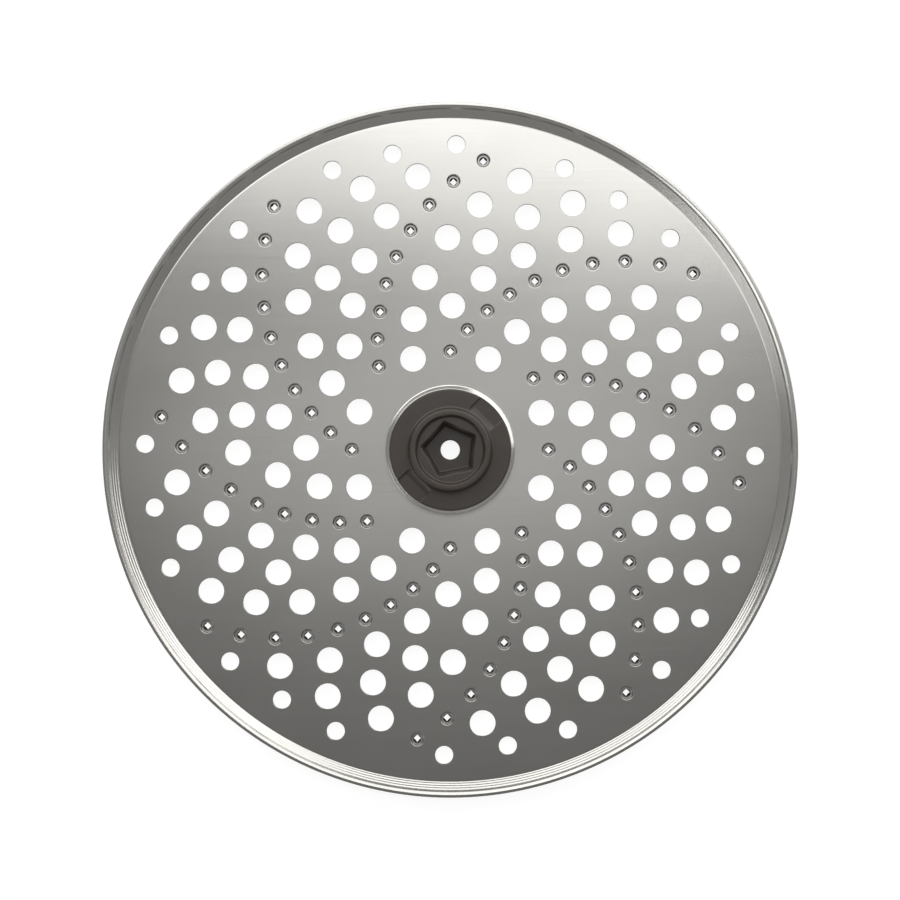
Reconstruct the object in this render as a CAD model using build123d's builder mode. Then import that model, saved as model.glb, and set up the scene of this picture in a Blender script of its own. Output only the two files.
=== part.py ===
"""Food processor grating disc: a pierced steel sheet with a rolled rim and a moulded drive hub.

Millimetres. The axis is Z and the drive side faces up, so the teeth point down.
The origin is on the axis, in the plane that the hub's cap stands on.
"""

import os
from math import acos, atan, atan2, cos, degrees, radians, sin

from build123d import *

# Sheet and rim
rim_radius = 86.4
sheet_thickness = 0.6
rim_slope_run = 2.83
rim_slope_rise = 2.36
rim_roll_run = 0.67
rim_roll_drop = 0.25

# Raised seat of the sheet round the hub
seat_rise = 0.75
seat_slope_run = 0.9
seat_margin = 0.2

# Spiral arms of teeth: each arm is an arc, and the teeth step outwards by even tracks
arm_count = 8
arm_sweep = 54.6
arm_arc_radius = 52.8
track_count = 19
arm_end_track = 17.82
inner_track_margin = 8.35
outer_track_margin = 7.34

# Rows of holes between the arms, counted outwards in tracks from the first tooth
leading_row_gap = 6.95
leading_row_tracks = (0, 4.05, 6.7, 9.65, 12.7, 15.6)
leading_row_end = 18.25
trailing_row_gap = 8.65
trailing_row_tracks = (3.3, 6.7, 10.05, 13.1, 15.8)
trailing_row_end = 18.1
middle_row_turn = 21.05
middle_row_shift = 2.2
middle_row_tracks = (9.95, 12.95, 15.6)
middle_row_end = 17.9
hole_radius = 3.23
hole_flats = 10
end_hole_radius = 2.27
end_hole_flats = 8

# Pierced teeth: square crowns, set cornerwise
tooth_height = 1.6
tooth_turn = 45
dimple_width = 3.05
opening_width = 1.3
crown_skirt = 0.2
crown_tip_wall = 0.2
tooth_clearance = 0.6

# Moulded hub
flange_radius = 15.15
flange_thickness = 1.2
flange_bevel = 0.25
collar_radius = 10.4
collar_height = 3.8
collar_draft_run = 0.4
collar_bevel = 0.4
collar_wall = 1.0
recess_depth = 1.6
recess_draft_run = 0.8
socket_sides = 5
socket_turn = 30
socket_depth = 5.15
socket_mouth_inradius = 5.9
socket_floor_inradius = 5.1
bore_radius = 2.4
neck_radius = 9.4
neck_clearance = 0.1
cap_radius = 13.0
cap_bevel = 0.8

# Two open pockets in the flange
pocket_count = 2
pocket_start_angle = 45
pocket_inner = 11.6
pocket_width = 7.9
pocket_depth = 0.7
pocket_corner = 0.8

# Heights above the plane that the cap stands on
sheet_bottom = tooth_height + tooth_clearance
sheet_top = sheet_bottom + sheet_thickness
seat_top = sheet_top + seat_rise
seat_bottom = seat_top - sheet_thickness
flange_top = seat_top + flange_thickness
crest_top = sheet_top + rim_slope_rise
collar_top = flange_top + collar_height
recess_floor = collar_top - recess_depth
socket_floor = recess_floor - socket_depth

# Radii that follow from the sizes above
crest_radius = rim_radius - rim_roll_run
flat_radius = crest_radius - rim_slope_run
seat_radius = flange_radius + seat_margin
seat_foot = seat_radius + seat_slope_run
first_track = seat_foot + inner_track_margin
last_track = flat_radius - outer_track_margin
track_step = (last_track - first_track) / (track_count - 1)
arm_spacing = 360 / arm_count


def track_radius(track):
    """Distance from the axis of a track, counted outwards from the first tooth."""
    return first_track + track * track_step


def point_at(radius, angle):
    """Point of the plan at a distance from the axis and an angle in degrees."""
    return Vector(radius * cos(radians(angle)), radius * sin(radians(angle)))


# The arc of the first arm, from the first track to the last
arm_arc = RadiusArc(
    point_at(first_track, 0),
    point_at(last_track, -arm_sweep),
    arm_arc_radius,
    mode=Mode.PRIVATE,
)
arc_center = arm_arc.arc_center
arc_center_radius = arc_center.length
arc_bearing = degrees(atan2(arc_center.Y, arc_center.X))


def arc_point(track, arc_radius, center_radius, turn):
    """Where an arc about a centre near the axis crosses a track."""
    radius = track_radius(track)
    side = (radius**2 + center_radius**2 - arc_radius**2) / (2 * radius * center_radius)
    return point_at(radius, arc_bearing + turn + degrees(acos(side)))


def row_points(tracks, arc_radius, center_radius, turn):
    """One row of points, repeated beside every arm."""
    return [
        arc_point(track, arc_radius, center_radius, turn + arm * arm_spacing)
        for arm in range(arm_count)
        for track in tracks
    ]


# Teeth take even tracks on one arm and odd tracks on the next, and no tooth passes the arms' end
tooth_points = [
    arc_point(min(track, arm_end_track), arm_arc_radius, arc_center_radius, arm * arm_spacing)
    for arm in range(arm_count)
    for track in range(arm % 2, track_count, 2)
]

leading_row = (arm_arc_radius + leading_row_gap, arc_center_radius, 0)
trailing_row = (arm_arc_radius - trailing_row_gap, arc_center_radius, 0)
middle_row = (arm_arc_radius, arc_center_radius - middle_row_shift, middle_row_turn)
hole_points = (
    row_points(leading_row_tracks, *leading_row)
    + row_points(trailing_row_tracks, *trailing_row)
    + row_points(middle_row_tracks, *middle_row)
)
end_hole_points = (
    row_points([leading_row_end], *leading_row)
    + row_points([trailing_row_end], *trailing_row)
    + row_points([middle_row_end], *middle_row)
)


# One tooth: the crown that stands below the sheet, and the funnel pierced through it
crown_width = dimple_width + 2 * crown_skirt
crown_narrowing = crown_width - opening_width - 2 * crown_tip_wall
crown_taper = degrees(atan(crown_narrowing / 2 / tooth_height))
funnel_depth = sheet_thickness + tooth_height
funnel_taper = degrees(atan((dimple_width - opening_width) / 2 / funnel_depth))

with BuildPart() as crown:
    with BuildSketch(Plane.XY.offset(sheet_bottom)):
        Rectangle(crown_width, crown_width, rotation=tooth_turn)
    extrude(amount=-tooth_height)
    crown_sides = crown.faces().filter_by(Axis.Z, reverse=True)
    draft(crown_sides, -Plane.XY.offset(sheet_bottom), crown_taper)

with BuildPart() as funnel:
    with BuildSketch(Plane.XY.offset(sheet_top)):
        Rectangle(dimple_width, dimple_width, rotation=tooth_turn)
    extrude(amount=-funnel_depth)
    funnel_sides = funnel.faces().filter_by(Axis.Z, reverse=True)
    draft(funnel_sides, -Plane.XY.offset(sheet_top), funnel_taper)


# Grating disc: one pressed sheet, drawn as its upper side and given its thickness
with BuildPart() as grating_disc:
    with BuildSketch(Plane.XZ):
        with BuildLine():
            Polyline(
                (neck_radius + neck_clearance, seat_top),
                (seat_radius, seat_top),
                (seat_foot, sheet_top),
                (flat_radius, sheet_top),
                (crest_radius, crest_top),
                (rim_radius, crest_top - rim_roll_drop),
            )
            offset(amount=sheet_thickness, side=Side.RIGHT, kind=Kind.INTERSECTION)
        make_face()
    revolve(axis=Axis.Z)
    with Locations(*tooth_points):
        add(crown.part)
    with Locations(*tooth_points):
        add(funnel.part, mode=Mode.SUBTRACT)
    with BuildSketch(Plane.XY.offset(sheet_top)):
        with Locations(*hole_points):
            RegularPolygon(hole_radius, hole_flats)
        with Locations(*end_hole_points):
            RegularPolygon(end_hole_radius, end_hole_flats)
    extrude(amount=-sheet_thickness, mode=Mode.SUBTRACT)
grating_disc.part.label = "grating_disc"


# Drive hub: moulded round the sheet's seat, with its flange above and its cap below
with BuildPart() as drive_hub:
    with BuildSketch(Plane.XZ):
        with BuildLine():
            Polyline(
                (0, 0),
                (cap_radius, 0),
                (cap_radius, seat_bottom),
                (neck_radius, seat_bottom),
                (neck_radius, seat_top),
                (flange_radius, seat_top),
                (flange_radius, flange_top),
                (collar_radius, flange_top),
                (collar_radius - collar_draft_run, collar_top),
                (collar_radius - collar_draft_run - collar_wall, collar_top),
                (collar_radius - collar_draft_run - collar_wall - recess_draft_run, recess_floor),
                (0, recess_floor),
                close=True,
            )
        make_face()
    revolve(axis=Axis.Z)
    rim_edges = drive_hub.edges().filter_by(GeomType.CIRCLE)
    chamfer(rim_edges.group_by(Axis.Z)[-1].sort_by(SortBy.RADIUS)[-1], collar_bevel)
    chamfer(rim_edges.filter_by_position(Axis.Z, flange_top, flange_top).sort_by(SortBy.RADIUS)[-1], flange_bevel)
    chamfer(rim_edges.group_by(Axis.Z)[0].sort_by(SortBy.RADIUS)[-1], cap_bevel)
    with BuildSketch(Plane.XY.offset(flange_top)):
        with PolarLocations(pocket_inner, pocket_count, start_angle=pocket_start_angle):
            RectangleRounded(pocket_inner, pocket_width, pocket_corner, align=(Align.MIN, Align.CENTER))
    extrude(amount=-pocket_depth, mode=Mode.SUBTRACT)
    with BuildSketch(Plane.XY.offset(recess_floor)):
        RegularPolygon(socket_mouth_inradius, socket_sides, major_radius=False, rotation=socket_turn)
    with BuildSketch(Plane.XY.offset(socket_floor)):
        RegularPolygon(socket_floor_inradius, socket_sides, major_radius=False, rotation=socket_turn)
    loft(ruled=True, mode=Mode.SUBTRACT)
    Hole(bore_radius)
drive_hub.part.label = "drive_hub"


os.makedirs("parts", exist_ok=True)
export_step(grating_disc.part, "parts/grating_disc.step")
export_step(drive_hub.part, "parts/drive_hub.step")
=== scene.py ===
"""Looks of a food processor grating disc: a pierced satin steel sheet and its moulded drive hub.

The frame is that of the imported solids: the axis is Z, the drive side faces up and the teeth point down.
The part's sizes are named in millimetres, and those of the floor, lamps and camera in metres.
"""

import math

import bmesh
import bpy
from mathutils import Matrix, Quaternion, Vector


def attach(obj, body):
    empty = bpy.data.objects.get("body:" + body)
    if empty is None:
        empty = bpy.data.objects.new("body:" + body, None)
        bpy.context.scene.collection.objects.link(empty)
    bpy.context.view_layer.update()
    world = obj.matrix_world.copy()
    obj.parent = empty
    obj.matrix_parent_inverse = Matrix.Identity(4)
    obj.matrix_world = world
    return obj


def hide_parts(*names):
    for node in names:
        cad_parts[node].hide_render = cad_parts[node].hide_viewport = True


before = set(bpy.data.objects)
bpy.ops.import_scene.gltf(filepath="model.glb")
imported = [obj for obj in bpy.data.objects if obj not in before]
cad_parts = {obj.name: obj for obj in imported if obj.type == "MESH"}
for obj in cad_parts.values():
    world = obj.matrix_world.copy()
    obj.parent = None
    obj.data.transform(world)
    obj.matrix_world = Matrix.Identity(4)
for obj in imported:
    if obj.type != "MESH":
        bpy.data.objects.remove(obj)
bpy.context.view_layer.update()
millimetre = 0.001

# Sheet and rim
rim_radius = 86.4
sheet_thickness = 0.6
cut_edge_round = 0.1
field_margin = 1.0
rim_slope_run = 2.83
rim_slope_rise = 2.36
rim_roll_run = 0.67
rim_brim_drop = 0.01
rim_edge_set = 0.03
rim_crest_set = 0.12
rim_step_run = 0.33
rim_step_rise = 0.5
rim_lip_run = 0.53
rim_lip_rise = 0.42
rim_upper_bends = (0.4, 0.15, 0.12, 0.12, 0.35)
rim_lower_bends = (0.4, 0.8, 0.05, 0.5, 0.05)
rim_ridges = 3.5
rim_ridge_height = 0.017
rim_foot_set = 0.02
rim_groove_run = 0.3
rim_groove_depth = 0.05

# Raised seat round the hub
seat_rise = 0.75
seat_slope_run = 0.9
seat_margin = 0.2
seat_crest_set = 0.1
seat_foot_set = 0.21
seat_upper_bends = (0.45, 0.2)
seat_lower_bends = (1.2, 0.05)

# Spiral arms of teeth and the rows of holes beside them
arm_count = 8
arm_sweep = 54.6
arm_arc_radius = 52.8
track_count = 19
arm_end_track = 17.82
inner_track_margin = 8.35
outer_track_margin = 7.34
leading_row_gap = 6.95
leading_row_tracks = (0, 4.05, 6.7, 9.65, 12.7, 15.6)
leading_row_end = 18.25
trailing_row_gap = 8.65
trailing_row_tracks = (3.3, 6.7, 10.05, 13.1, 15.8)
trailing_row_end = 18.1
middle_row_turn = 21.05
middle_row_shift = 2.2
middle_row_tracks = (9.95, 12.95, 15.6)
middle_row_end = 17.9
hole_radius = 3.23
end_hole_radius = 2.27
hole_edge_round = 0.07

# Pierced teeth, with sections in steps of radius, drop and, where they turn square, squareness
tooth_height = 1.6
tooth_clearance = 0.6
dimple_radius = 1.78
dimple_lip = ((1.745, 0.009), (1.71, 0.028), (1.68, 0.056), (1.65, 0.092))
dimple_wall = ((1.625, 0.134), (1.605, 0.18), (1.46, 0.47))
dimple_floor = ((1.43, 0.515), (1.39, 0.548), (1.34, 0.56), (1.31, 0.56))
torn_mouth = ((1.0, 0.56, 0.03), (0.98, 0.61, 0.1), (0.96, 0.73, 0.3), (0.94, 1.0, 0.8))
opening_corner = 0.93
opening_drop = 1.35
flap_notch = 0.55
flap_lean = 0.02
flap_edge = 0.1
flap_bevel = 0.03
crown_skirt = ((1.4, 0.62, 0.7), (1.66, 0.3, 0.3))
crown_foot_radius = 2.0
guard_width = 0.14

# Moulded hub
flange_radius = 15.15
flange_thickness = 1.2
flange_lower_round = 0.1
flange_upper_round = 0.3
flange_edge_margin = 0.6
collar_radius = 10.4
collar_height = 3.8
collar_draft_run = 0.4
collar_wall = 1.4
collar_foot_margin = 0.6
collar_foot_round = 0.45
collar_outer_round = 0.42
collar_inner_round = 0.22
recess_depth = 1.6
recess_draft_run = 0.4
recess_floor_round = 0.3
recess_floor_margin = 0.4
socket_sides = 5
socket_turn = 30
socket_depth = 5.15
socket_mouth_inradius = 5.9
socket_mouth_margin = 0.3
socket_floor_inradius = 5.1
socket_floor_margin = 0.5
socket_corner = 0.45
socket_edge_round = 0.3
socket_floor_round = 0.3
bore_radius = 2.4
bore_margin = 0.5
bore_edge_round = 0.15
bore_seam_height = 1.0
bore_seam_gap = 0.1
neck_radius = 9.4
neck_clearance = 0.1
cap_radius = 13.0
cap_round = 0.8
cap_upper_round = 0.2
pocket_count = 2
pocket_start_angle = 45
pocket_inner = 11.6
pocket_width = 7.9
pocket_depth = 0.7
pocket_overrun = 3
pocket_headroom = 0.2
pocket_corner = 0.8
pocket_floor_round = 0.15
pocket_floor_margin = 0.2
pocket_edge_round = 0.1
pocket_edge_rise = 0.02
pocket_round_middle = 0.3
pocket_ramp = 1.2
pocket_ramp_foot = 0.2

# How finely round forms are divided, what is sewn together and what counts as a sharp edge
ring_sides = 240
hole_sides = 24
tooth_sides = 16
hub_sides = 180
floor_sides = 96
bend_steps = 6
bend_points = bend_steps + 1
half_bend = bend_steps // 2
ridge_steps = 8
pocket_corner_steps = 6
seam = 0.002
sharp_angle = 34

# Colours of the finishes, from the darker to the lighter shade of a faint clouding; three of the steels are
# copies that paint light and shade onto the sheet
satin_shades = ((0.60, 0.59, 0.56), (0.64, 0.63, 0.60))
# Painted sheen: a lighter copy of the satin steel for the rim's and seat's slopes, brighter than the lamps
# alone make them
painted_sheen_shades = ((0.762, 0.749, 0.711), (0.813, 0.800, 0.762))
# Painted shade: nearly black steel for the cut edges, the hole walls and the teeth's throats
cut_edge_shade_colours = ((0.05, 0.048, 0.045), (0.10, 0.097, 0.092))
# Painted shade: a darker copy of the steel inside the dimples
dimple_shade_colours = ((0.44, 0.432, 0.411), (0.50, 0.492, 0.468))
plastic_shades = ((0.0551, 0.0422, 0.0328), (0.0633, 0.0492, 0.0384))

# Floor, lamps, room and view, in metres; the room has a shade at each height, from 0 to 1 at the zenith
floor_radius = 6.0
floor_wall_height = 0.32
floor_glow = 0.85
floor_shade = 0.3
floor_bounce = 0.8
lamp_distance = 1.4
room_shades = ((0, 0.07), (0.3, 0.24), (0.6, 0.22), (0.9, 0.167))
view_distance = 0.38
view_width = 0.22477
view_center = (-0.00006, -0.00003)

# Heights above the plane that the cap stands on
sheet_bottom = tooth_height + tooth_clearance
sheet_top = sheet_bottom + sheet_thickness
seat_top = sheet_top + seat_rise
seat_bottom = seat_top - sheet_thickness
flange_top = seat_top + flange_thickness
crest_top = sheet_top + rim_slope_rise
step_top = crest_top - rim_lip_rise
step_bottom = step_top - rim_step_rise
collar_top = flange_top + collar_height
recess_floor = collar_top - recess_depth
socket_floor = recess_floor - socket_depth

# Radii that follow from the sizes above
crest_radius = rim_radius - rim_roll_run
crest_line = crest_radius - rim_crest_set
step_outer = crest_line - rim_lip_run
step_inner = step_outer - rim_step_run
flat_radius = crest_radius - rim_slope_run
rim_foot = flat_radius + rim_foot_set
seat_radius = flange_radius + seat_margin
seat_foot = seat_radius + seat_slope_run
first_track = seat_foot + inner_track_margin
last_track = flat_radius - outer_track_margin
track_step = (last_track - first_track) / (track_count - 1)
arm_spacing = 360 / arm_count
field_outer = flat_radius - field_margin
field_inner = seat_foot + field_margin


# Points of the plan

def point_at(radius, angle):
    """Point of the plan at a distance from the axis and an angle in degrees."""
    return Vector((radius * math.cos(math.radians(angle)), radius * math.sin(math.radians(angle))))


def arm_arc_center():
    """Centre of the arc of the first arm, through its first and last tooth."""
    start = point_at(first_track, 0)
    end = point_at(last_track, -arm_sweep)
    chord = end - start
    reach = math.sqrt(arm_arc_radius**2 - (chord.length / 2) ** 2)
    return (start + end) / 2 + Vector((chord.y, -chord.x)).normalized() * reach


arc_center = arm_arc_center()
arc_center_radius = arc_center.length
arc_bearing = math.degrees(math.atan2(arc_center.y, arc_center.x))


def arc_point(track, arc_radius, center_radius, turn):
    """Where an arc about a centre near the axis crosses a track."""
    radius = first_track + track * track_step
    side = (radius**2 + center_radius**2 - arc_radius**2) / (2 * radius * center_radius)
    return point_at(radius, arc_bearing + turn + math.degrees(math.acos(side)))


def row_points(tracks, arc_radius, center_radius, turn):
    """One row of points, repeated beside every arm."""
    return [
        arc_point(track, arc_radius, center_radius, turn + arm * arm_spacing)
        for arm in range(arm_count)
        for track in tracks
    ]


tooth_points = [
    arc_point(min(track, arm_end_track), arm_arc_radius, arc_center_radius, arm * arm_spacing)
    for arm in range(arm_count)
    for track in range(arm % 2, track_count, 2)
]
leading_row = (arm_arc_radius + leading_row_gap, arc_center_radius, 0)
trailing_row = (arm_arc_radius - trailing_row_gap, arc_center_radius, 0)
middle_row = (arm_arc_radius, arc_center_radius - middle_row_shift, middle_row_turn)
hole_points = (
    row_points(leading_row_tracks, *leading_row)
    + row_points(trailing_row_tracks, *trailing_row)
    + row_points(middle_row_tracks, *middle_row)
)
end_hole_points = (
    row_points([leading_row_end], *leading_row)
    + row_points([trailing_row_end], *trailing_row)
    + row_points([middle_row_end], *middle_row)
)


# Sections: lines of distance from the axis and height

def rounded_line(corners, radii):
    """A line through corners, with an arc of the given radius in place of each inner corner."""
    corners = [Vector(corner) for corner in corners]
    line = [corners[0]]
    for before, corner, after, radius in zip(corners, corners[1:], corners[2:], radii):
        if radius == 0:
            line.append(corner)
            continue
        way_in = (corner - before).normalized()
        way_out = (after - corner).normalized()
        turn = math.atan2(way_in.x * way_out.y - way_in.y * way_out.x, way_in.dot(way_out))
        start = corner - way_in * radius * math.tan(abs(turn) / 2)
        inward = Vector((-way_in.y, way_in.x)) * math.copysign(radius, turn)
        center = start + inward
        spoke = -inward
        for step in range(bend_points):
            angle = turn * step / bend_steps
            line.append(center + Vector((
                spoke.x * math.cos(angle) - spoke.y * math.sin(angle),
                spoke.x * math.sin(angle) + spoke.y * math.cos(angle),
            )))
    line.append(corners[-1])
    return line


def right_side(line, distance):
    """The line moved to its right by a distance, or to its left where that is negative."""
    moved = []
    for index, point in enumerate(line):
        before = line[max(index - 1, 0)]
        after = line[min(index + 1, len(line) - 1)]
        way_in = (point - before if index else after - point).normalized()
        way_out = (after - point if index < len(line) - 1 else point - before).normalized()
        along = (way_in + way_out).normalized()
        moved.append(point + Vector((along.y, -along.x)) * distance / along.dot(way_in))
    return moved


def ridged_run(start, end, ridges, height):
    """Points of a straight run that falls and rises in shallow ridges between its ends."""
    along = end - start
    across = Vector((-along.y, along.x)).normalized()
    steps = round(ridges * ridge_steps)
    return [
        start + along * step / steps - across * height * math.sin(2 * math.pi * ridges * step / steps)
        for step in range(1, steps)
    ]


# Meshes made of rings

def circle_ring(radius, height, sides):
    """A ring of points about the axis."""
    return [(*point_at(radius, 360 * side / sides), height) for side in range(sides)]


def revolved_rings(section, sides):
    """Rings of a section turned about the axis."""
    return [circle_ring(point.x, point.y, sides) for point in section]


def ring_mesh(name, *strips, closed=False):
    """A mesh of quads between the rings of each strip, which have the same number of points."""
    shape = bmesh.new()
    for rings in strips:
        loops = [
            [shape.verts.new(Vector(point) * millimetre) for point in ring]
            for ring in rings
        ]
        pairs = list(zip(loops, loops[1:]))
        if closed:
            pairs.append((loops[-1], loops[0]))
        for lower, upper in pairs:
            for side in range(len(lower)):
                after = (side + 1) % len(lower)
                shape.faces.new((lower[side], lower[after], upper[after], upper[side]))
    mesh = bpy.data.meshes.new(name)
    shape.to_mesh(mesh)
    shape.free()
    return mesh


def mark_faces(mesh, label, first_ring, last_ring, sides):
    """Marks the faces between two rings for a copy of the steel that paints shade on cut edges and in
    dimples, or a sheen on slopes.
    """
    marks = mesh.attributes.get(label) or mesh.attributes.new(label, "BOOLEAN", "FACE")
    for index in range(first_ring * sides, last_ring * sides):
        marks.data[index].value = True


def linked_object(name, data):
    """An object for a mesh, a lamp or a camera, in the scene."""
    made = bpy.data.objects.new(name, data)
    bpy.context.scene.collection.objects.link(made)
    return made


def settled_mesh(made, helpers):
    """Puts what an object's modifiers make in place of its mesh, and removes the objects that they read."""
    whole = made.evaluated_get(bpy.context.evaluated_depsgraph_get())
    mesh = bpy.data.meshes.new_from_object(whole)
    made.modifiers.clear()
    made.data = mesh
    mesh.name = made.name
    for helper in helpers:
        bpy.data.objects.remove(helper)
    return mesh


def outward_smooth(mesh):
    """Turns all faces of a closed mesh outwards and shades it smooth between its sharp edges."""
    shape = bmesh.new()
    shape.from_mesh(mesh)
    bmesh.ops.recalc_face_normals(shape, faces=shape.faces)
    shape.to_mesh(mesh)
    shape.free()
    mesh.shade_smooth()
    mesh.set_sharp_from_angle(angle=math.radians(sharp_angle))


# Sections of the rim and the seat, of one thickness

def sheet_section(upper_line, lower_line):
    """Upper side, cut edge with rounded corners and lower side, then where the cut starts and ends."""
    upper_end = upper_line[-1]
    lower_end = lower_line[-1]
    along = (upper_end - upper_line[-2]).normalized()
    run_in = along * cut_edge_round * 2
    corner_line = rounded_line(
        (upper_end - run_in, upper_end, lower_end, lower_end - run_in),
        (cut_edge_round, cut_edge_round),
    )
    edge_start = len(upper_line) + half_bend
    edge_end = edge_start + bend_points
    return upper_line[:-1] + corner_line + lower_line[-2::-1], edge_start, edge_end


def rim_section():
    """Section of the ridged rim, from the flat field out over the flat brim and back.

    After it come the start and end of its cut edge, and those of its slope with the painted sheen as a pair.
    """
    corners = [
        Vector((field_outer, sheet_top)),
        Vector((rim_foot - rim_groove_run, sheet_top)),
        Vector((rim_foot, sheet_top - rim_groove_depth)),
        Vector((step_inner, step_bottom)),
        Vector((step_outer, step_top)),
        Vector((crest_line, crest_top)),
        Vector((rim_radius - rim_edge_set, crest_top - rim_brim_drop)),
    ]
    upper = rounded_line(corners, rim_upper_bends)
    lower = rounded_line(right_side(corners, sheet_thickness), rim_lower_bends)
    slope_start = 2 * bend_points
    ridges = ridged_run(upper[slope_start], upper[slope_start + 1], rim_ridges, rim_ridge_height)
    ridged_upper = upper[: slope_start + 1] + ridges + upper[slope_start + 1 :]
    # The painted sheen, a lighter copy of the steel, runs from the middle of the groove's bend to the middle
    # of the crest's, the last one
    sheen_start = slope_start - half_bend
    sheen_end = len(ridged_upper) - 2 - half_bend
    return *sheet_section(ridged_upper, lower), (sheen_start, sheen_end)


def seat_section():
    """Section of the raised seat, from the flat field in to the edge round the hub's neck and back.

    After it come the start and end of its cut edge, and those of its slope with both bends, which gets a
    painted sheen, as a pair.
    """
    corners = [
        Vector((field_inner, sheet_top)),
        Vector((seat_foot - seat_foot_set, sheet_top)),
        Vector((seat_radius - seat_crest_set, seat_top)),
        Vector((neck_radius + neck_clearance, seat_top)),
    ]
    upper = rounded_line(corners, seat_upper_bends)
    lower = rounded_line(right_side(corners, -sheet_thickness), seat_lower_bends)
    return *sheet_section(upper, lower), (1, 2 * bend_points)


# Pierced places: the wall of a hole and the crown of a tooth, each with its marked rings

def hole_rings(radius):
    """Wall of a punched hole with a broken edge above and below; below the upper edge it is cut metal,
    painted dark as shade.
    """
    rings = [
        circle_ring(radius + hole_edge_round, sheet_top, hole_sides),
        circle_ring(radius, sheet_top - hole_edge_round, hole_sides),
        circle_ring(radius, sheet_bottom + hole_edge_round, hole_sides),
        circle_ring(radius + hole_edge_round, sheet_bottom, hole_sides),
    ]
    return rings, {"Cut": (1, len(rings) - 1)}


def crown_ring(radius, height, squareness=0, notch=0):
    """A ring between a circle and a square that stands on its corner, with notches at the corners."""
    ring = []
    for side in range(tooth_sides):
        angle = 360 * side / tooth_sides
        corner = abs(math.cos(math.radians(angle))) + abs(math.sin(math.radians(angle)))
        reach = radius * (1 - squareness + squareness / corner)
        cornerness = abs(math.cos(math.radians(2 * angle)))
        ring.append((*point_at(reach, angle), height + notch * cornerness**2))
    return ring


def tooth_rings():
    """A round dimple made by the press in the sheet and the square crown ripped open below it; its dimple
    and throat rings are marked for painted shade.
    """
    tip = sheet_bottom - tooth_height
    lip_steps = ((dimple_radius + guard_width, 0), (dimple_radius, 0), *dimple_lip)
    mouth_steps = (*torn_mouth, (opening_corner, opening_drop, 1))
    skirt_steps = (*crown_skirt, (crown_foot_radius, 0, 0), (crown_foot_radius + guard_width, 0, 0))
    lip = [crown_ring(radius, sheet_top - drop) for radius, drop in lip_steps]
    dimple = [crown_ring(radius, sheet_top - drop) for radius, drop in dimple_wall + dimple_floor]
    mouth = [crown_ring(radius, sheet_top - drop, squareness) for radius, drop, squareness in mouth_steps]
    flaps = [
        crown_ring(opening_corner + flap_lean, tip, 1, flap_notch),
        crown_ring(opening_corner + flap_lean + flap_edge, tip + flap_bevel, 1, flap_notch),
    ]
    skirt = [crown_ring(radius, sheet_bottom - drop, squareness) for radius, drop, squareness in skirt_steps]
    pressed_start = len(lip)
    torn_start = pressed_start + len(dimple)
    torn_end = torn_start + len(mouth) + len(flaps) - 1
    # The dimple's wall and floor get a painted shade, and the mouth and flaps a darker painted shade
    marks = {"Pressed": (pressed_start, torn_start), "Cut": (torn_start, torn_end)}
    return lip + dimple + mouth + flaps + skirt, marks


# Node trees

def node_tree(name, inputs, outputs, kind="GeometryNodeTree"):
    """A node tree with named sockets, and the sockets of its group input and output nodes."""
    tree = bpy.data.node_groups.new(name, kind)
    for label, socket_kind in inputs:
        tree.interface.new_socket(label, in_out="INPUT", socket_type="NodeSocket" + socket_kind)
    for label, socket_kind in outputs:
        tree.interface.new_socket(label, in_out="OUTPUT", socket_type="NodeSocket" + socket_kind)
    return tree, tree.nodes.new("NodeGroupInput").outputs, tree.nodes.new("NodeGroupOutput").inputs


def fill_inputs(tree, node, **sources):
    """Sets values or links on a node's named inputs; an underscore stands for a space."""
    for label, source in sources.items():
        socket = node.inputs[label.replace("_", " ")]
        for one in source if isinstance(source, list) else [source]:
            if isinstance(one, bpy.types.NodeSocket):
                tree.links.new(one, socket)
            else:
                socket.default_value = one
    return node


def placed(tree, kind, **sources):
    """A new node with values or links on its named inputs."""
    return fill_inputs(tree, tree.nodes.new(kind), **sources)


def placed_in_order(tree, kind, *sources):
    """A new node with links on its inputs, in their order."""
    node = tree.nodes.new(kind)
    for source, socket in zip(sources, node.inputs):
        tree.links.new(source, socket)
    return node


def circle_curve(tree, sides, radius):
    """A circle of the plan as a curve with a number of sides."""
    circle = placed(tree, "GeometryNodeCurvePrimitiveCircle", Resolution=sides, Radius=radius)
    return circle.outputs["Curve"]


# Geometry nodes: the pierced sheet

place_inputs = (
    ("Places", "Object"),
    ("Shape", "Object"),
    ("Upper Radius", "Float"),
    ("Lower Radius", "Float"),
    ("Sides", "Int"),
)
pierced_kinds = ("Hole", "End Hole", "Tooth")
# Marks for the copies of the steel that paint shade on cut edges and in dimples, and a sheen on slopes
marked_metals = ("Cut", "Pressed", "Spun")


def pierced_places_tree():
    """One shape set on every place, with the circles that it leaves in the sheet's two sides."""
    tree, given, result = node_tree(
        "pierced_places",
        place_inputs,
        [("Shapes", "Geometry"), ("Upper Circles", "Geometry"), ("Lower Circles", "Geometry")],
    )
    places = placed(tree, "GeometryNodeObjectInfo", Object=given["Places"]).outputs["Geometry"]
    shape = placed(tree, "GeometryNodeObjectInfo", Object=given["Shape"]).outputs["Geometry"]
    upper = circle_curve(tree, given["Sides"], given["Upper Radius"])
    lower = circle_curve(tree, given["Sides"], given["Lower Radius"])
    for label, instance in (("Shapes", shape), ("Upper Circles", upper), ("Lower Circles", lower)):
        spread = placed(tree, "GeometryNodeInstanceOnPoints", Points=places, Instance=instance)
        real = placed(tree, "GeometryNodeRealizeInstances", Geometry=spread.outputs["Instances"])
        tree.links.new(real.outputs["Geometry"], result[label])
    return tree


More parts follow.
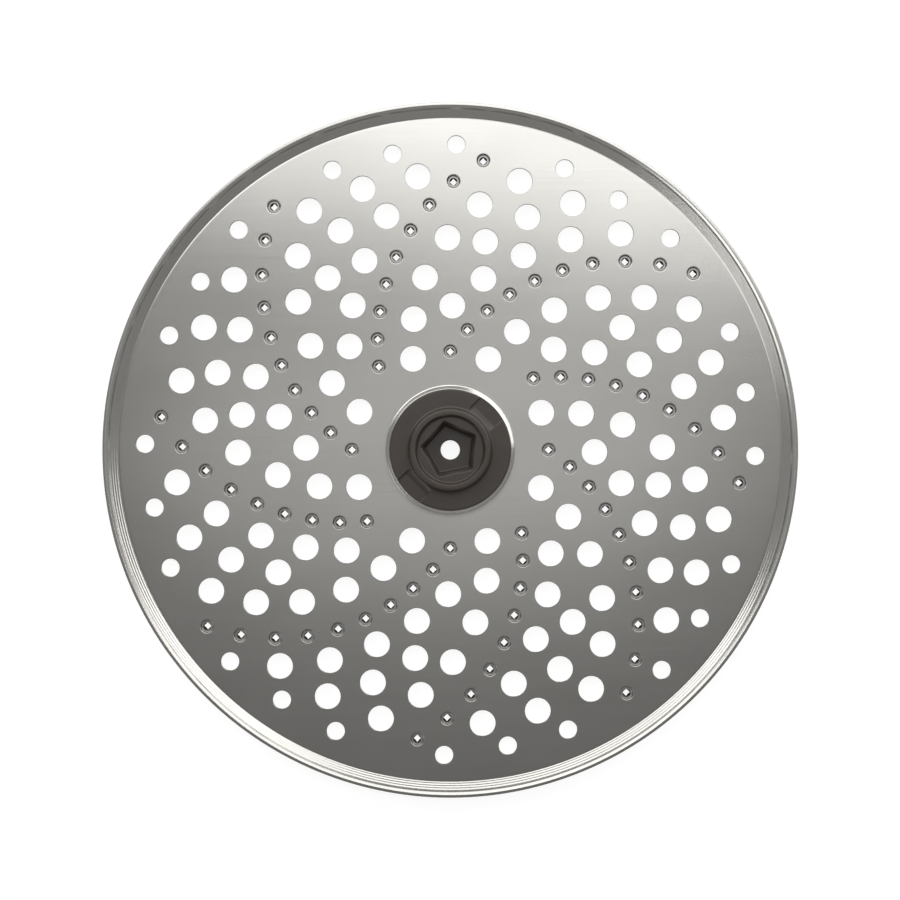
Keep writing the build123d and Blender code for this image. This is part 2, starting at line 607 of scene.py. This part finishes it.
def pierced_sheet_tree(places_tree):
    """Flat field of the sheet with all its pierced places, joined to the rim and the seat."""
    inputs = [("Geometry", "Geometry")]
    for kind in pierced_kinds:
        inputs += [(kind + " " + label, socket_kind) for label, socket_kind in place_inputs]
    inputs += [
        ("Field Outer Radius", "Float"),
        ("Field Inner Radius", "Float"),
        ("Ring Sides", "Int"),
        ("Sheet Top", "Float"),
        ("Sheet Bottom", "Float"),
        ("Seam", "Float"),
        ("Finish", "Material"),
    ]
    inputs += [(metal + " Finish", "Material") for metal in marked_metals]
    tree, given, result = node_tree("pierced_sheet", inputs, [("Geometry", "Geometry")])
    parts = [given["Geometry"]]
    outlines = {"Upper Circles": [], "Lower Circles": []}
    for kind in pierced_kinds:
        group = tree.nodes.new("GeometryNodeGroup")
        group.node_tree = places_tree
        for label, _ in place_inputs:
            tree.links.new(given[kind + " " + label], group.inputs[label])
        parts.append(group.outputs["Shapes"])
        for label, circles in outlines.items():
            circles.append(group.outputs[label])
    for radius in ("Field Outer Radius", "Field Inner Radius"):
        border = circle_curve(tree, given["Ring Sides"], given[radius])
        for circles in outlines.values():
            circles.append(border)
    for label, height in (("Upper Circles", "Sheet Top"), ("Lower Circles", "Sheet Bottom")):
        joined = placed(tree, "GeometryNodeJoinGeometry", Geometry=outlines[label])
        filled = placed(tree, "GeometryNodeFillCurve", Curve=joined.outputs["Geometry"])
        lift = placed(tree, "ShaderNodeCombineXYZ", Z=given[height])
        side = placed(
            tree,
            "GeometryNodeTransform",
            Geometry=filled.outputs["Mesh"],
            Translation=lift.outputs["Vector"],
        )
        parts.append(side.outputs["Geometry"])
    whole = placed(tree, "GeometryNodeJoinGeometry", Geometry=parts)
    sewn = placed(
        tree, "GeometryNodeMergeByDistance", Geometry=whole.outputs["Geometry"], Distance=given["Seam"]
    )
    real = placed(tree, "GeometryNodeRealizeInstances", Geometry=sewn.outputs["Geometry"])
    dressed = placed(
        tree, "GeometryNodeSetMaterial", Geometry=real.outputs["Geometry"], Material=given["Finish"]
    )
    # Marked faces take the copies of the steel that paint shade on cut edges and in dimples, and a sheen on
    # slopes
    for metal in marked_metals:
        mark = placed(tree, "GeometryNodeInputNamedAttribute", Name=metal)
        mark.data_type = "BOOLEAN"
        dressed = placed(
            tree,
            "GeometryNodeSetMaterial",
            Geometry=dressed.outputs["Geometry"],
            Selection=mark.outputs["Attribute"],
            Material=given[metal + " Finish"],
        )
    tree.links.new(dressed.outputs["Geometry"], result["Geometry"])
    return tree


# Finishes

def grain_group():
    """Fine grain that is drawn out along one direction: a height for bumps and a mask for shades."""
    group, given, result = node_tree(
        "drawn_grain",
        [("Along", "Float"), ("Across", "Float"), ("Detail", "Float")],
        [("Height", "Float"), ("Mask", "Float")],
        "ShaderNodeTree",
    )
    place = group.nodes.new("ShaderNodeTexCoord").outputs["Object"]
    scale = placed(
        group, "ShaderNodeCombineXYZ", X=given["Along"], Y=given["Across"], Z=given["Across"]
    )
    drawn = placed_in_order(group, "ShaderNodeVectorMath", place, scale.outputs["Vector"])
    drawn.operation = "MULTIPLY"
    noise = placed(
        group, "ShaderNodeTexNoise", Vector=drawn.outputs["Vector"], Scale=1.0, Detail=given["Detail"]
    )
    mask = placed(
        group, "ShaderNodeMapRange", Value=noise.outputs["Fac"], From_Min=0.3, From_Max=0.7
    )
    group.links.new(noise.outputs["Fac"], result["Height"])
    group.links.new(mask.outputs["Result"], result["Mask"])
    return group


def finish_material(name):
    """A material with a plain Principled shader, with its tree and that shader."""
    material = bpy.data.materials.new(name)
    material.use_nodes = True
    tree = material.node_tree
    return material, tree, tree.nodes["Principled BSDF"]


def grain_node(tree, group, along, across, detail):
    """Outputs of the grain group in a material, with its own values."""
    node = tree.nodes.new("ShaderNodeGroup")
    node.node_tree = group
    return fill_inputs(tree, node, Along=along, Across=across, Detail=detail).outputs


def grey(shade):
    """An opaque grey."""
    return (shade, shade, shade, 1)


def shaded_between(tree, mask, low, high):
    """A colour that goes from low to high with a mask."""
    ramp = placed(tree, "ShaderNodeValToRGB", Fac=mask)
    ramp.color_ramp.elements[0].color = (*low, 1)
    ramp.color_ramp.elements[1].color = (*high, 1)
    return ramp.outputs["Color"]


def ranged(tree, mask, low, high):
    """A value that goes from low to high with a mask."""
    return placed(tree, "ShaderNodeMapRange", Value=mask, To_Min=low, To_Max=high).outputs["Result"]


def bumped(tree, height, strength, distance):
    """A normal with a fine relief."""
    return placed(
        tree, "ShaderNodeBump", Height=height, Strength=strength, Distance=distance
    ).outputs["Normal"]


def either(tree, first, second):
    """One where either of two marks is one."""
    node = placed_in_order(tree, "ShaderNodeMath", first, second)
    node.operation = "MAXIMUM"
    return node.outputs[0]


def satin_steel(group, name, shades):
    """Satin steel with a faint grain along X and a faint clouding."""
    material, tree, shader = finish_material(name)
    brushed = grain_node(tree, group, along=30, across=2600, detail=4)
    cloudy = grain_node(tree, group, along=35, across=60, detail=2)
    fill_inputs(
        tree,
        shader,
        Base_Color=shaded_between(tree, cloudy["Mask"], *shades),
        Roughness=ranged(tree, brushed["Mask"], low=0.21, high=0.24),
        Normal=bumped(tree, brushed["Height"], strength=0.02, distance=0.00002),
        Metallic=1,
    )
    return material


def torn_steel(group):
    """Painted shade on punched and cut edges and in the teeth's throats: steel far darker and rougher than
    the face, with dulled grazing reflections.
    """
    material, tree, shader = finish_material("torn_steel")
    rough = grain_node(tree, group, along=3000, across=3000, detail=3)
    fill_inputs(
        tree,
        shader,
        Base_Color=shaded_between(tree, rough["Mask"], *cut_edge_shade_colours),
        Roughness=ranged(tree, rough["Mask"], low=0.5, high=0.65),
        Normal=bumped(tree, rough["Height"], strength=0.25, distance=0.00003),
        Metallic=1,
        Specular_Tint=grey(0.25),
    )
    return material


def pressed_steel(group):
    """Painted shade inside the dimples: a darker copy of the steel, rougher where the press has dulled it.
    """
    material, tree, shader = finish_material("pressed_steel")
    dulled = grain_node(tree, group, along=1500, across=1500, detail=3)
    fill_inputs(
        tree,
        shader,
        Base_Color=shaded_between(tree, dulled["Mask"], *dimple_shade_colours),
        Roughness=ranged(tree, dulled["Mask"], low=0.33, high=0.39),
        Metallic=1,
    )
    return material


def moulded_plastic(group):
    """Dark warm grey plastic with a fine moulded grain."""
    material, tree, shader = finish_material("moulded_plastic")
    moulded = grain_node(tree, group, along=6500, across=6500, detail=2)
    cloudy = grain_node(tree, group, along=180, across=180, detail=3)
    fill_inputs(
        tree,
        shader,
        Base_Color=shaded_between(tree, cloudy["Mask"], *plastic_shades),
        Roughness=ranged(tree, moulded["Mask"], low=0.27, high=0.33),
        Normal=bumped(tree, moulded["Height"], strength=0.06, distance=0.00003),
        Specular_IOR_Level=0.75,
    )
    return material


def pale_floor():
    """Near white with a faint shadow to the camera and to reflections; plain pale to other light."""
    material, tree, shader = finish_material("pale_floor")
    fill_inputs(tree, shader, Base_Color=grey(floor_bounce), Roughness=0.9)
    path = tree.nodes.new("ShaderNodeLightPath").outputs
    seen = either(tree, path["Is Camera Ray"], path["Is Glossy Ray"])
    seen_through = either(tree, seen, path["Is Transmission Ray"])
    glow = placed(tree, "ShaderNodeEmission", Strength=floor_glow)
    shade = placed(tree, "ShaderNodeBsdfDiffuse", Color=grey(floor_shade))
    both = placed_in_order(tree, "ShaderNodeAddShader", glow.outputs[0], shade.outputs[0])
    mix = placed_in_order(
        tree, "ShaderNodeMixShader", seen_through, shader.outputs[0], both.outputs[0]
    )
    tree.links.new(mix.outputs[0], tree.nodes["Material Output"].inputs["Surface"])
    return material


grain = grain_group()
steel = satin_steel(grain, "satin_steel", satin_shades)
# The rim's and seat's slopes get a painted sheen: a lighter copy of the satin steel
painted_sheen = satin_steel(grain, "spun_steel", painted_sheen_shades)
# Cut edges, hole walls and the teeth's throats get a painted shade
cut_edge_shade = torn_steel(grain)
# The dimples get a painted shade
dimple_shade = pressed_steel(grain)
plastic = moulded_plastic(grain)


# Steel sheet

def place_object(name, points):
    """Loose points of the plan, as an object that the node tree reads."""
    mesh = bpy.data.meshes.new(name)
    mesh.from_pydata([(*(point * millimetre), 0) for point in points], [], [])
    return linked_object(name, mesh)


def rim_and_seat():
    """Mesh of the rim and the seat as revolved sections, with their cut edges marked for painted shade and
    their slopes for a painted sheen.
    """
    rim, edge_start, edge_end, rim_slope = rim_section()
    seat, _, _, seat_slope = seat_section()
    mesh = ring_mesh("rim_and_seat", revolved_rings(rim, ring_sides), revolved_rings(seat, ring_sides))
    mesh.materials.append(steel)
    seat_start = len(rim) - 1
    # The cut edges of the rim and the seat get a painted shade
    mark_faces(mesh, "Cut", edge_start, edge_end, ring_sides)
    # The slopes of the rim and the seat get a painted sheen
    mark_faces(mesh, "Spun", *rim_slope, ring_sides)
    mark_faces(mesh, "Spun", seat_start + seat_slope[0], seat_start + seat_slope[1], ring_sides)
    return mesh


def grating_sheet():
    """The sheet as it comes from the press: rim and seat as revolved sections, and the pierced field between
    them, with painted shade and sheen on its marked faces.
    """
    sheet = linked_object("grating_sheet", rim_and_seat())
    values = {
        "Field Outer Radius": field_outer * millimetre,
        "Field Inner Radius": field_inner * millimetre,
        "Ring Sides": ring_sides,
        "Sheet Top": sheet_top * millimetre,
        "Sheet Bottom": sheet_bottom * millimetre,
        "Seam": seam * millimetre,
        "Finish": steel,
        "Cut Finish": cut_edge_shade,
        "Pressed Finish": dimple_shade,
        "Spun Finish": painted_sheen,
    }
    pierced = (
        (hole_points, hole_sides, *hole_rings(hole_radius)),
        (end_hole_points, hole_sides, *hole_rings(end_hole_radius)),
        (tooth_points, tooth_sides, *tooth_rings()),
    )
    helpers = []
    for kind, (points, sides, rings, marks) in zip(pierced_kinds, pierced):
        shape = ring_mesh(kind + " shape", rings)
        shape.materials.append(steel)
        for metal, (first_ring, last_ring) in marks.items():
            mark_faces(shape, metal, first_ring, last_ring, sides)
        places = place_object(kind + " places", points)
        template = linked_object(kind + " shape", shape)
        helpers += [places, template]
        values[kind + " Places"] = places
        values[kind + " Shape"] = template
        values[kind + " Upper Radius"] = Vector(rings[0][0][:2]).length * millimetre
        values[kind + " Lower Radius"] = Vector(rings[-1][0][:2]).length * millimetre
        values[kind + " Sides"] = sides
    modifier = sheet.modifiers.new("pierced_sheet", "NODES")
    modifier.node_group = pierced_sheet_tree(pierced_places_tree())
    for item in modifier.node_group.interface.items_tree:
        if item.in_out == "INPUT" and item.name in values:
            modifier[item.identifier] = values[item.name]
    mesh = settled_mesh(sheet, helpers)
    for index, finish in reversed(list(enumerate(mesh.materials))):
        if finish is None:
            mesh.materials.pop(index=index)
    for metal in marked_metals:
        mesh.attributes.remove(mesh.attributes[metal])
    outward_smooth(mesh)
    return sheet


# Drive hub

def socket_ring(inradius, height):
    """A ring round the five-sided socket, with rounded corners."""
    half_side = 180 / socket_sides
    corner_inradius = inradius - socket_corner
    center = corner_inradius / math.cos(math.radians(half_side))
    straight = math.degrees(math.atan(corner_inradius * math.tan(math.radians(half_side)) / inradius))
    ring = []
    for side in range(hub_sides):
        angle = 360 * side / hub_sides
        from_corner = abs((angle - socket_turn + half_side) % (2 * half_side) - half_side)
        from_middle = half_side - from_corner
        if from_middle <= straight:
            reach = inradius / math.cos(math.radians(from_middle))
        else:
            lean = math.radians(from_corner)
            rest = math.sqrt(socket_corner**2 - (center * math.sin(lean)) ** 2)
            reach = center * math.cos(lean) + rest
        ring.append((*point_at(reach, angle), height))
    return ring


def hub_rings():
    """Rings of the hub, from the bore out round the cap, flange and collar, and back down the socket."""
    collar_top_outer = collar_radius - collar_draft_run
    collar_top_inner = collar_top_outer - collar_wall
    recess_radius = collar_top_inner - recess_draft_run
    outline = rounded_line(
        (
            (bore_radius, bore_seam_height),
            (bore_radius, 0),
            (cap_radius, 0),
            (cap_radius, seat_bottom),
            (neck_radius, seat_bottom),
            (neck_radius, seat_top),
            (flange_radius, seat_top),
            (flange_radius, flange_top),
            (flange_radius - flange_edge_margin, flange_top),
            (collar_radius + collar_foot_margin, flange_top),
            (collar_radius, flange_top),
            (collar_top_outer, collar_top),
            (collar_top_inner, collar_top),
            (recess_radius, recess_floor),
            (recess_radius - recess_floor_margin, recess_floor),
        ),
        (
            bore_edge_round,
            cap_round,
            cap_upper_round,
            0,
            0,
            flange_lower_round,
            flange_upper_round,
            0,
            0,
            collar_foot_round,
            collar_outer_round,
            collar_inner_round,
            recess_floor_round,
        ),
    )
    wall = rounded_line(
        (
            (socket_mouth_inradius + socket_mouth_margin, recess_floor),
            (socket_mouth_inradius, recess_floor),
            (socket_floor_inradius, socket_floor),
            (socket_floor_inradius - socket_floor_margin, socket_floor),
        ),
        (socket_edge_round, socket_floor_round),
    )
    bore = rounded_line(
        (
            (bore_radius + bore_margin, socket_floor),
            (bore_radius, socket_floor),
            (bore_radius, bore_seam_height + bore_seam_gap),
        ),
        (bore_edge_round,),
    )
    return (
        revolved_rings(outline, hub_sides)
        + [socket_ring(point.x, point.y) for point in wall]
        + revolved_rings(bore, hub_sides)
    )


def pocket_ring(outset, ramp, height, bearing):
    """A ring round the pocket's plan: a rectangle with rounded corners that runs out past the flange."""
    ring = []
    low = pocket_inner - outset - ramp
    high = flange_radius + pocket_overrun + outset
    half = pocket_width / 2 + outset
    corner = pocket_corner + outset
    for center_x, center_y, start in (
        (high - corner, half - corner, 0),
        (low + corner, half - corner, 90),
        (low + corner, corner - half, 180),
        (high - corner, corner - half, 270),
    ):
        for step in range(pocket_corner_steps + 1):
            bend = point_at(corner, start + 90 * step / pocket_corner_steps)
            local = Vector((center_x, center_y)) + bend
            turned = point_at(local.length, math.degrees(math.atan2(local.y, local.x)) + bearing)
            ring.append((*turned, height))
    return ring


def pocket_cutter(bearing):
    """The space of one pocket, with a rounded floor, a flared mouth and a ramp at its inner end."""
    floor = flange_top - pocket_depth
    floor_middle = pocket_round_middle * pocket_floor_round
    edge_middle = pocket_round_middle * pocket_edge_round
    levels = (
        (-pocket_floor_round - pocket_floor_margin, 0, floor),
        (-pocket_floor_round, 0, floor),
        (-floor_middle, 0, floor + floor_middle),
        (0, 0, floor + pocket_floor_round),
        (0, 0, floor + pocket_ramp_foot),
        (edge_middle, pocket_ramp, flange_top - edge_middle),
        (pocket_edge_round, pocket_ramp, flange_top + pocket_edge_rise),
        (pocket_edge_round, pocket_ramp, flange_top + pocket_headroom),
    )
    mesh = ring_mesh("pocket_space", [pocket_ring(*level, bearing) for level in levels])
    shape = bmesh.new()
    shape.from_mesh(mesh)
    bmesh.ops.holes_fill(shape, edges=[edge for edge in shape.edges if edge.is_boundary])
    bmesh.ops.recalc_face_normals(shape, faces=shape.faces)
    shape.to_mesh(mesh)
    shape.free()
    return linked_object("pocket_space", mesh)


def hub_moulding():
    """The moulded hub, with its two pockets cut out of the flange."""
    mesh = ring_mesh("hub_moulding", hub_rings(), closed=True)
    outward_smooth(mesh)
    hub = linked_object("hub_moulding", mesh)
    cutters = []
    for pocket in range(pocket_count):
        cutter = pocket_cutter(pocket_start_angle + 360 * pocket / pocket_count)
        cutters.append(cutter)
        cut = hub.modifiers.new("pocket", "BOOLEAN")
        cut.operation = "DIFFERENCE"
        cut.solver = "EXACT"
        cut.object = cutter
    carved = settled_mesh(hub, cutters)
    outward_smooth(carved)
    carved.materials.clear()
    carved.materials.append(plastic)
    return hub


sheet = grating_sheet()
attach(sheet, "root")
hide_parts("grating_disc")

hub = hub_moulding()
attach(hub, "root")
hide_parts("drive_hub")


# Floor, light and camera

def floor_disc(radius, wall_height):
    """A plain round floor under the part, with a low wall at its edge."""
    mesh = bpy.data.meshes.new("floor")
    shape = bmesh.new()
    bmesh.ops.create_circle(shape, cap_ends=True, segments=floor_sides, radius=radius)
    border = [edge for edge in shape.edges if edge.is_boundary]
    raised = bmesh.ops.extrude_edge_only(shape, edges=border)["geom"]
    wall_top = [part for part in raised if isinstance(part, bmesh.types.BMVert)]
    bmesh.ops.translate(shape, verts=wall_top, vec=(0, 0, wall_height))
    shape.to_mesh(mesh)
    shape.free()
    mesh.materials.append(pale_floor())
    return linked_object("floor", mesh)


def soft_box(name, azimuth, elevation, width, height, brightness, roll=0):
    """An elliptical soft box that faces the part; brightness is that of its face."""
    lamp = bpy.data.lights.new(name, "AREA")
    lamp.shape = "ELLIPSE"
    lamp.size = width
    lamp.size_y = height
    area = math.pi * width * height / 4
    lamp.energy = brightness * math.pi * area
    rise = math.radians(elevation)
    ground = point_at(lamp_distance * math.cos(rise), azimuth)
    box = linked_object(name, lamp)
    box.location = (*ground, lamp_distance * math.sin(rise))
    facing = box.location.to_track_quat("Z", "Y") @ Quaternion((0, 0, 1), math.radians(roll))
    box.rotation_euler = facing.to_euler()
    box.visible_camera = False


def studio_world(shades):
    """A plain grey room, with a shade at each height from the horizon to the zenith."""
    world = bpy.data.worlds.new("studio")
    world.use_nodes = True
    tree = world.node_tree
    direction = tree.nodes.new("ShaderNodeTexCoord").outputs["Generated"]
    height = placed(tree, "ShaderNodeSeparateXYZ", Vector=direction).outputs["Z"]
    ramp = placed(tree, "ShaderNodeValToRGB", Fac=height)
    steps = ramp.color_ramp.elements
    steps[0].position = shades[0][0]
    steps[1].position = shades[-1][0]
    for place, _ in shades[1:-1]:
        steps.new(place)
    for step, (_, shade) in zip(steps, shades):
        step.color = grey(shade)
    fill_inputs(tree, tree.nodes["Background"], Color=ramp.outputs["Color"])
    return world


floor = floor_disc(floor_radius, floor_wall_height)

soft_box(
    "main_soft_box", azimuth=108, elevation=64.7, width=2.75, height=0.55, brightness=1.78, roll=-30.5
)
soft_box("lower_soft_box", azimuth=92, elevation=36, width=4.4, height=0.76, brightness=1.18, roll=-10)
soft_box("low_soft_box", azimuth=38, elevation=9, width=1.9, height=0.67, brightness=1.5)
soft_box("side_soft_box", azimuth=212, elevation=28, width=0.95, height=0.34, brightness=1.7)
soft_box("top_soft_box", azimuth=180, elevation=89.8, width=0.31, height=0.72, brightness=0.47)

bpy.context.scene.world = studio_world(room_shades)
bpy.context.scene.view_settings.view_transform = "Standard"

camera = bpy.data.cameras.new("camera")
camera.sensor_width = 36
camera.lens = camera.sensor_width * view_distance / view_width
camera.clip_start = 0.01
viewpoint = linked_object("camera", camera)
viewpoint.location = (*view_center, sheet_top * millimetre + view_distance)
bpy.context.scene.camera = viewpoint
